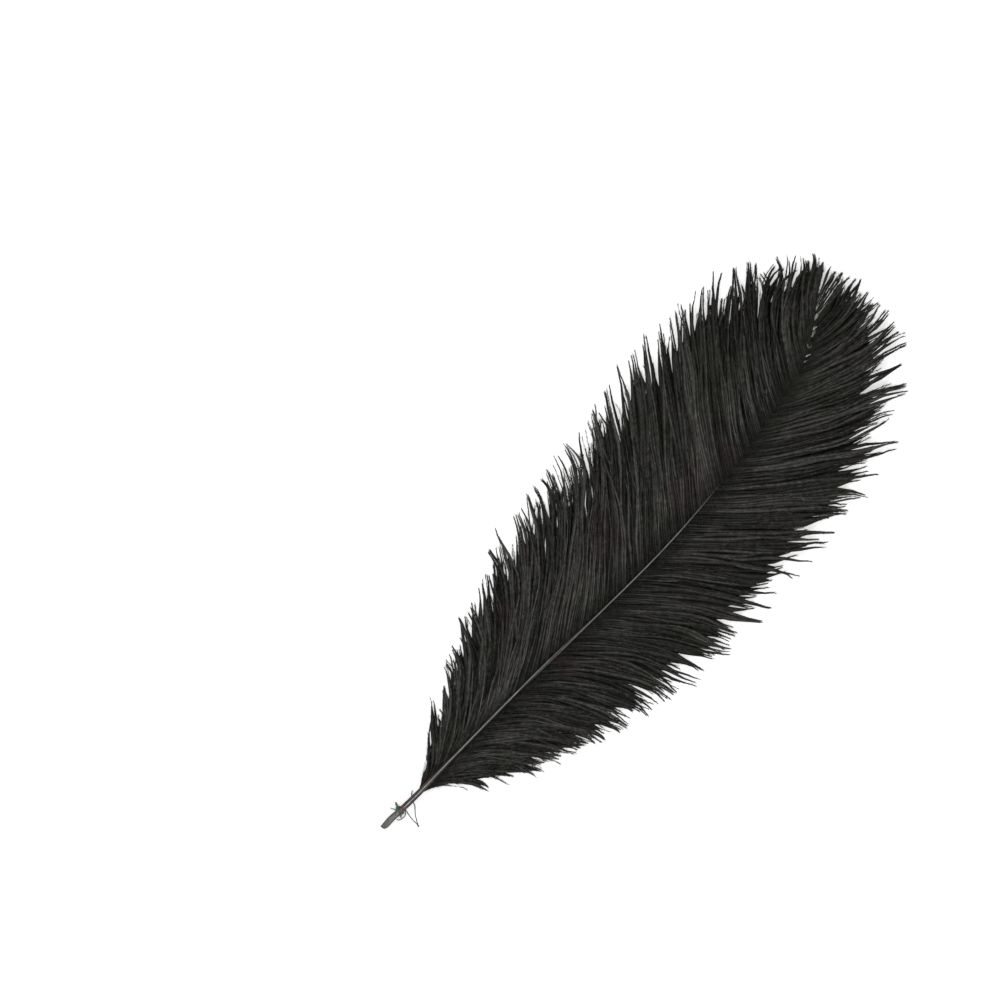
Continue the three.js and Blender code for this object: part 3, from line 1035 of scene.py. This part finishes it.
def reachTips(flat, wisp, places, furthest=7):
    # bends the wisps that end nearest to the given places so that they reach them
    ends = groupMean(flat[:, -1], wisp)
    first = np.unique(wisp, return_index=True)[1]
    taken = set()
    for place in np.array(places, float):
        order = np.argsort(np.linalg.norm(ends[first] - place, axis=1))
        nearest = next(i for i in order if i not in taken)
        taken.add(nearest)
        members = wisp == wisp[first[nearest]]
        shift = place - ends[first[nearest]]
        shift = shift * min(1, furthest / max(np.linalg.norm(shift), 1e-6))
        flat[members] += shift * (barbGrid**3)[None, :, None]
    return flat


def drawsFor(rng, count):
    # draw gives each barb a number that its lock or its wisp shares, or one of its own
    groups = {kind: groupsOf(rng, count, *sizes) for kind, sizes in barbValues["groups"].items()}
    groups["barb"] = np.arange(count)

    def draw(kind, low, high):
        return rng.uniform(low, high, count)[groups[kind]]

    return groups["wisp"], draw


def waysOf(vane, stations, length, layer, draw, side, hook, values):
    # where the barbs run, seen from above
    rootHeading, midHeading, tipHeading, _ = rowAt(vane, stations).T
    freedom = min(layer["turn"], 1)
    baseMore, *calm = values["ruffle"]
    tipMore, *nearTip = values["tipRuffle"]
    tipward = smoothStep(stations, *nearTip)
    ruffled = 1 + (baseMore * (1 - smoothStep(stations, *calm)) + tipMore * tipward) * freedom
    calmer = 1 - values["tipCalm"] * tipward
    turn = values["lockTurn"] * calmer * draw("lock", -1, 1) + values["wispTurn"] * draw("wisp", -1, 1)
    turn = (turn + values["barbTurn"] * ruffled * draw("barb", -1, 1)) * layer["turn"]
    curl = values["curl"] * freedom
    u = (barbGrid[1:] + barbGrid[:-1]) / 2

    def cycles(count, start):
        return 2 * np.pi * (np.outer(count, u) + start[:, None])

    phase = cycles(0.4 * draw("lock", 2, 5) + 0.2 * draw("barb", 0, 3), draw("lock", 0, 1))
    sway = cycles(length / draw("barb", *values["barbWaveLength"]), draw("barb", 0, 1))
    ripple = cycles(length / values["wiggleLength"], 0.5 * (draw("wisp", 0, 2) + draw("barb", 0, 1)))
    barbWave = values["barbWave"] * (0.4 + 0.6 * freedom) * ruffled * draw("barb", 0, 1)
    curled = curl * (draw("wisp", -1, 1) + draw("barb", -0.5, 0.5))
    heading = (
        np.outer(rootHeading, (1 - u) * (1 - 2 * u))
        + np.outer(midHeading, 4 * u * (1 - u))
        + np.outer(tipHeading, u * (2 * u - 1))
        + np.outer(turn, u)
        + (values["wave"] * calmer)[:, None] * np.sin(phase)
        + np.outer(barbWave, u**0.5) * np.sin(sway)
        + np.outer(curled, smoothStep(u, values["curlFrom"], 1.0))
        + np.outer(hook * draw("wisp", -0.3, 1), smoothStep(u, values["hookFrom"], 1.0))
        + values["wiggle"] * np.sin(ripple) * smoothStep(u, values["wiggleFrom"], 1.0)
    )
    rootY, _, rootWidth, _ = rowAt(shaftTable, stations).T
    seen = 1 - smoothStep(stations, *values["coverFrom"])
    rootY = rootY + side * rootWidth * values["rootAside"] * seen
    angle, step = np.radians(heading), np.outer(length, np.diff(barbGrid))
    x, y = (
        np.concatenate([root[:, None], root[:, None] + np.cumsum(step * turned, 1)], 1)
        for root, turned in ((stations, np.cos(angle)), (rootY, np.sin(angle)))
    )
    return np.stack([x, y], -1)


def closeWisps(flat, wisp, layer, draw, values):
    # the barbs of a wisp close up on each other
    along, atEnd = layer["gather"]
    closing = along * smoothStep(barbGrid[None], *values["closing"])
    endClosing = draw("wisp", *values["endClosing"])[:, None] * atEnd
    start = draw("wisp", *values["endClosingFrom"])[:, None]
    closing = closing + endClosing * smoothStep(barbGrid[None], start, 1.0)
    return flat + (groupMean(flat, wisp) - flat) * closing[..., None]


def heightsOf(stations, wisp, layer, draw, values):
    _, rootZ, _, rootHeight = rowAt(shaftTable, stations).T
    rootZ = rootZ + rootHeight * smoothStep(stations, *values["coverFrom"])
    low = np.minimum(1, rootZ / values["liftRoom"])[:, None]
    inWisp = np.arange(len(wisp)) - groupMean(np.arange(len(wisp), dtype=float), wisp)
    rise = values["wispRise"] * draw("wisp", -1, 1) - values["wispRoof"] * inWisp**2 - layer["sink"]
    u = barbGrid
    sunk = u[None] ** values["droop"]
    z = rootZ[:, None] * (1 - sunk) + draw("wisp", *values["tipHeight"])[:, None] * sunk
    z = z + draw("lock", *values["lift"])[:, None] * 4 * u * (1 - u) * low
    z = z + rise[:, None] * smoothStep(u[None], *values["riseFrom"])
    return np.maximum(z, values["lowest"])


def tonesOf(length, layer, draw, side, darkTip, values):
    u = barbGrid
    tone = smoothStep(sum(share * draw(kind, 0, 1) for kind, share in values["tones"].items()), 0.1, 0.95)
    turned = np.outer(length / draw("barb", *values["gleamLength"][side]), u) + draw("barb", 0, 1)[:, None]
    gleam = (0.5 + 0.5 * np.sin(2 * np.pi * turned)) ** 2 - 0.35
    tone = tone[:, None] + values["gleam"] * draw("barb", 0, 1)[:, None] * gleam
    tone = np.clip(tone, 0, values["brightest"])
    tone = tone + values["evenness"][side] * (values["middleTone"] - tone)
    near, clear, least = values["rootShade"]
    shade = least + (1 - least) * smoothStep(np.outer(length, u), near, clear)
    shade = shade * (1 - np.outer(darkTip, smoothStep(u, *values["darkTipFrom"])))
    lowTone, highTone = layer["tone"]
    return (lowTone + (highTone - lowTone) * tone) * shade


def growBarbs(vane, stations, layer, rng, side, places=(), hook=0.0, darkTip=0.0, thin=1.0, bare=0.0):
    # the barbs of one layer as lines from root to tip, and the numbers that tell them apart
    values = barbValues
    count = len(stations)
    hook, darkTip, thin, bare = (np.broadcast_to(numbers, count) for numbers in (hook, darkTip, thin, bare))
    wisp, draw = drawsFor(rng, count)
    spread = layer["spread"] * sum(draw(kind, *limits) for kind, limits in values["lengths"].items())
    tipward = smoothStep(stations, *values["tipRuffle"][1:])
    length = rowAt(vane, stations)[:, 3] * (layer["length"] - layer["tipCut"][side] * tipward) * (1 + spread)
    flat = waysOf(vane, stations, length, layer, draw, side, hook, values)
    pitch = np.abs(np.cross(unit(np.gradient(flat, axis=1)), np.gradient(flat, axis=0)))
    flat = reachTips(closeWisps(flat, wisp, layer, draw, values), wisp, places)
    z = heightsOf(stations, wisp, layer, draw, values)
    tone = tonesOf(length, layer, draw, side, darkTip, values)
    # the down narrows to the tip, and is missing from a bare root
    down = np.clip(pitch * layer["cover"], values["thinnest"], layer["widest"])
    down = down * (1 - smoothStep(barbGrid, *layer["taper"]) * (1 - values["tipDown"])) * thin[:, None]
    bare = bare * draw("barb", 0, 1.3)
    dressed = smoothStep(np.outer(length, barbGrid), bare[:, None] * 0.8 - 0.1, bare[:, None])
    down = down * (values["bareDown"] + (1 - values["bareDown"]) * dressed)
    lines = np.concatenate([flat, z[..., None]], -1)
    return {"lines": lines, "tone": tone, "length": length, "down": down, "bare": bare}


# barbs, barbules and down: what each barb is made of

fibreValues = {
    "barbWidth": (0.17, 0.07),  # half widths of a barb at root and tip
    "barbShine": 1.3,  # how much lighter a barb is than the down on it
    "downHeight": 0.35,  # half height of the close down along a barb
    "downSteps": 11,
    "barbulesPerVane": 85000,
    "barbuleLength": (0.5, 1.2, 2.6, 1.8),  # at these shares of a barb's length
    "barbuleLengthAt": (0, 0.05, 0.5, 1),
    "barbuleLengths": (0.6, 1.35),  # how they differ
    "barbuleWidth": 0.17,
    "barbuleWidths": (0.7, 1.25),
    "barbuleAngle": 30.0,  # degrees between a barbule and its barb
    "barbuleAngles": (0.35, 1.4),
    "barbuleRoll": (12, 30),  # degrees above the surface: the mean, and how they differ
    "barbuleTone": (0.8, 0.33),  # share of the barb's tone, and how they differ
    "barbuleLowest": 0.06,
    "crowding": 0.62,  # below 1 more of them grow towards the tips
    "rootShare": 0.1,  # share of the barbules in the tangle beside the shaft
    "rootReach": 9.0,  # how wide that tangle is
    "rootAngles": (30, 130),
}


def barbParts(barbs, values):
    lines = barbs["lines"]
    u = barbGrid
    root, tip = values["barbWidth"]
    half = np.broadcast_to(root + (tip - root) * u, lines.shape[:2])
    vertices, faces = tubes(lines, half, half, 3)
    along = np.repeat(np.broadcast_to(u, lines.shape[:2]).ravel(), 3)
    tone = np.repeat(barbs["tone"].ravel() * values["barbShine"], 3)
    zeros = np.zeros(len(vertices))
    return vertices, faces, {"tone": tone, "along": along, "across": zeros, "fibre": zeros + 0.5}


def downParts(barbs, values):
    lines, steps = barbs["lines"], values["downSteps"]
    i = np.round(np.linspace(0, lines.shape[1] - 1, steps)).astype(int)
    u = barbGrid[i]
    core = lines[:, i]
    halfWidth = barbs["down"][:, i]
    halfHeight = np.minimum(halfWidth * 0.5, values["downHeight"])
    core[..., 2] = np.maximum(core[..., 2] - halfHeight * 0.9, halfHeight + 0.02)
    vertices, faces = tubes(core, halfWidth, halfHeight, 4)
    along = np.repeat(np.broadcast_to(u, core.shape[:2]).ravel(), 4)
    across = np.tile([1.0, 0.0, -1.0, 0.0], core.shape[0] * core.shape[1])
    tone = np.repeat(barbs["tone"][:, i].ravel(), 4)
    zeros = np.zeros(len(vertices))
    return vertices, faces, {"tone": tone, "along": along, "across": across, "fibre": zeros}


def barbuleParts(barbs, values, number, rng):
    # each barbule is a thin closed spike that leans forward from its barb
    lines = barbs["lines"]
    barb = rng.choice(len(lines), number, p=barbs["length"] / barbs["length"].sum())
    tangled = rng.uniform(0, 1, number) < values["rootShare"]
    u = rng.uniform(0, 1, number) ** values["crowding"]
    u = np.where(tangled, u * u * values["rootReach"] / barbs["length"][barb], u)
    u = np.clip(u, np.maximum(0.012, barbs["bare"][barb] / barbs["length"][barb]), 0.998)
    i = np.searchsorted(barbGrid, u) - 1
    part = ((u - barbGrid[i]) / (barbGrid[i + 1] - barbGrid[i]))[:, None]
    base = lines[barb, i] * (1 - part) + lines[barb, i + 1] * part
    ahead = unit(lines[barb, i + 1] - lines[barb, i])
    above = np.array([0.0, 0.0, 1.0])
    side = unit(np.cross(above, ahead)) * rng.choice([-1.0, 1.0], number)[:, None]
    roll = np.radians(rng.normal(*values["barbuleRoll"], number))[:, None]
    out = side * np.cos(roll) + above * np.sin(roll)
    opening = values["barbuleAngle"] * rng.uniform(*values["barbuleAngles"], number) * (1 - 0.35 * u)
    opening = np.radians(np.where(tangled, rng.uniform(*values["rootAngles"], number), opening))[:, None]
    lean = unit(ahead * np.cos(opening) + out * np.sin(opening))
    size = np.interp(u, values["barbuleLengthAt"], values["barbuleLength"])
    size = (size * rng.uniform(*values["barbuleLengths"], number))[:, None]
    width = (values["barbuleWidth"] * rng.uniform(*values["barbuleWidths"], number))[:, None]
    flatSide = unit(np.cross(above, lean)) * width / 2
    corners = [base - flatSide, base + flatSide, base + above * width * 0.45, base + lean * size]
    vertices = np.stack(corners, 1)
    vertices[..., 2] = np.maximum(vertices[..., 2], values["barbuleLowest"])
    sides = np.array([[2, 1, 0], [0, 1, 3], [1, 2, 3], [2, 0, 3]])
    faces = (np.arange(number)[:, None, None] * 4 + sides).reshape(-1, 3)
    share, spread = values["barbuleTone"]
    tone = barbs["tone"][barb, i] * share + rng.normal(0, spread, number)
    tone = np.clip(tone, 0, barbValues["brightest"])
    numbers = {
        "tone": np.repeat(tone, 4),
        "along": np.repeat(u, 4),
        "across": np.tile([0.0, 0.0, 0.0, 1.0], number),
        "fibre": np.ones(number * 4),
    }
    return vertices.reshape(-1, 3), [faces], numbers


vaneLook = {
    "dark": (0.008, 0.008, 0.007),
    "light": (0.163, 0.16, 0.145),
    "tipGrey": (0.075, 0.073, 0.067),
    "tints": ((0.062, 0.03, 0.034), (0.038, 0.046, 0.024)),
    "patches": (45.0, 0.5),
    "greyTips": (0.75, 1.0, 0.2),  # from, to, and how much
    "combing": (260.0, 9.0),  # rows of barbules along a barb, and how far aside they slant
    "combedShade": (0.45, 1.35),
    "downShade": (0.5, 1.1),  # the down, and what stands out of it
    "relief": (0.35, 0.0001),
    "roughness": (0.4, 0.6),
    "gloss": 0.2,
}


def makeVaneMaterial(look):
    material, tree, shader = newMaterial("dyedBarbs")
    along, fibre = readValue(tree, "along"), readValue(tree, "fibre")
    base = mixColour(tree, readValue(tree, "tone"), look["dark"], look["light"])
    tipFrom, tipTo, tipShare = look["greyTips"]
    base = mixColour(tree, remap(tree, along, tipFrom, tipTo, 0.0, tipShare), base, look["tipGrey"])
    dyed, depth = addUnevenDye(tree, base, look["tints"], look["patches"])
    # rows of barbules slant away from each barb, so the down between barbs is finely combed
    rows, slanting = look["combing"]
    aside = times(tree, mathNode(tree, "ABSOLUTE", readValue(tree, "across")), slanting)
    slant = mathNode(tree, "SUBTRACT", times(tree, along, rows), aside)
    isDown = remap(tree, fibre, 0.0, 0.5, 1.0, 0.0)
    combed = times(tree, mathNode(tree, "SINE", slant), isDown)
    colour = shadeBy(tree, dyed, combed, -1.0, 1.0, *look["combedShade"])
    # the close down lies deep between the barbules that stand out of it
    colour = shadeBy(tree, colour, fibre, 0.0, 0.5, *look["downShade"])
    finishSurface(tree, shader, colour, depth, combed, look)
    return material


vaneMaterial = makeVaneMaterial(vaneLook)


# the vanes

def joinBarbs(layers):
    # all the layers of a vane in one row, from the quill to the tip
    whole = {key: np.concatenate([barbs[key] for barbs in layers]) for key in layers[0]}
    order = np.argsort(whole["lines"][:, 0, 0], kind="stable")
    return {key: value[order] for key, value in whole.items()}


def buildVane(name, layers, rng):
    # each vane is three pieces, with as much barb in each
    barbs = joinBarbs(layers)
    share = np.cumsum(barbs["length"]) / barbs["length"].sum()
    borders = [0, *np.searchsorted(share, [1 / 3, 2 / 3]), len(share)]
    barbules = round(fibreValues["barbulesPerVane"] / 3)
    for part, (start, end) in enumerate(zip(borders[:-1], borders[1:])):
        some = {key: value[start:end] for key, value in barbs.items()}
        parts = [
            barbParts(some, fibreValues),
            downParts(some, fibreValues),
            barbuleParts(some, fibreValues, barbules, rng),
        ]
        addPiece(f"{name}_barbs_{part + 1}", joinParts(parts), vaneMaterial, "vane", "feather")


# the left vane's barbs near the tip are dark and end in small hooks; the right vane's are bare
# and sparse where the shaft fades out
tipHooks = {"from": 255.0, "full": 300.0, "turn": 60.0, "shade": 0.55, "shadeFrom": 200.0}
sparseTip = {"from": 316.0, "full": 331.0, "down": 0.72}
bareRoots = {"from": 309.0, "full": 322.0, "left": 0.6, "right": 2.1, "gaps": (4.3, 6.9)}


def barenessAt(stations, values):
    # the barbs stand clear of the shaft in short gaps, a few mm apart
    first, second = (np.sin(2 * np.pi * stations / length) for length in values["gaps"])
    gaps = smoothStep(first + 0.6 * second, -0.5, 0.5)
    return smoothStep(stations, values["from"], values["full"]) * gaps


def growLeftVane():
    rng = np.random.default_rng(11)
    layers = []
    for name, places in (("under", ()), ("upper", leftTips), ("stray", ())):
        stations = barbStations(barbLayers[name]["count"])
        towardTip = {
            "hook": tipHooks["turn"] * smoothStep(stations, tipHooks["from"], tipHooks["full"]),
            "darkTip": tipHooks["shade"] * smoothStep(stations, tipHooks["shadeFrom"], tipHooks["full"]),
            "bare": bareRoots["left"] * barenessAt(stations, bareRoots),
        }
        layers.append(growBarbs(leftVane, stations, barbLayers[name], rng, 1, places, **towardTip))
    stations = np.linspace(sweepVane[0][0], sweepVane[-1][0], barbLayers["sweep"]["count"])
    layers.append(growBarbs(sweepVane, stations, barbLayers["sweep"], rng, 1))
    buildVane("left_vane", layers, rng)


def growRightVane():
    rng = np.random.default_rng(29)
    layers = []
    for name, places in (("under", ()), ("upper", rightTips), ("stray", ())):
        stations = barbStations(barbLayers[name]["count"])
        if name != "upper":
            stations = stations[stations < sparseTip["full"]]
        sparse = smoothStep(stations, sparseTip["from"], sparseTip["full"])
        towardTip = {
            "thin": 1 - (1 - sparseTip["down"]) * sparse,
            "bare": bareRoots["right"] * barenessAt(stations, bareRoots),
        }
        layers.append(growBarbs(rightVane, stations, barbLayers[name], rng, -1, places, **towardTip))
    buildVane("right_vane", layers, rng)


growLeftVane()
growRightVane()
print("vanes grown")


# the surface that the plume lies on

# a light table, whose glow keeps the shadows faint
surfaceValues = {
    "Base Color": (0.93, 0.93, 0.93, 1),
    "Roughness": 0.9,
    "Specular IOR Level": 0.1,
    "Emission Color": (1, 1, 1, 1),
    "Emission Strength": 0.54,
}


def buildFloor(values, reach=6.0):
    material, _, shader = newMaterial("paleSurface")
    for key, value in values.items():
        shader.inputs[key].default_value = value
    mesh = bpy.data.meshes.new("surface")
    corners = [(-reach, -reach, 0), (reach, -reach, 0), (reach, reach, 0), (-reach, reach, 0)]
    mesh.from_pydata(corners, [], [(0, 1, 2, 3)])
    mesh.materials.append(material)
    floor = bpy.data.objects.new("surface", mesh)
    bpy.context.collection.objects.link(floor)


buildFloor(surfaceValues)

bpy.context.view_layer.update()
